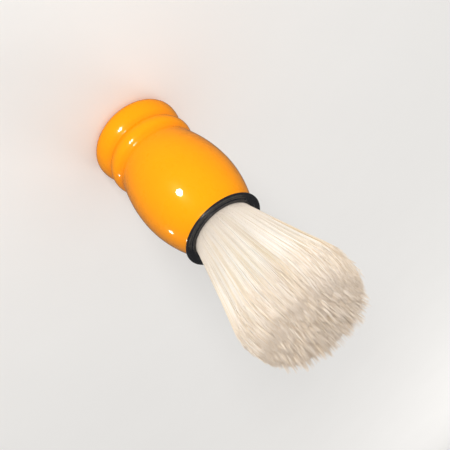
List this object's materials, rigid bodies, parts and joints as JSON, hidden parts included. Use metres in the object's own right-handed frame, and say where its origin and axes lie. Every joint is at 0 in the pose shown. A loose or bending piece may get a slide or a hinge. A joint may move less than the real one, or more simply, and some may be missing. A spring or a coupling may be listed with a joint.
{
  "type": "shaving brush",
  "caption": "Wet-shaving brush: turned gloss handle with foot, bead and bulb, slim dark collar, and a fan of pale natural bristles with a domed tip.",
  "frame": {"origin": "centre of the foot's flat face, on which the brush stands", "axes": "+Z along the brush's axis, from the foot to the bristle tips; the brush is round, so X and Y are free"},
  "size_m": [0.0414, 0.0414, 0.1103],
  "materials": {
    "lacquered_wood": "mirror-gloss orange lacquer, no visible grain",
    "collar_black": "gloss",
    "bristle": "natural off-white bristle, satin",
    "waxed_thread": "waxed",
    "cast_resin": "amber, gloss",
    "adhesive": "dull"
  },
  "bodies": {
    "root": {"handle": "lacquered_wood", "collar": "collar_black", "bristle_tuft": "bristle", "bristle_roots": "bristle", "root_binding": "waxed_thread", "resin_plug": "cast_resin", "socket_glue": "adhesive"}
  },
  "joints": []
}
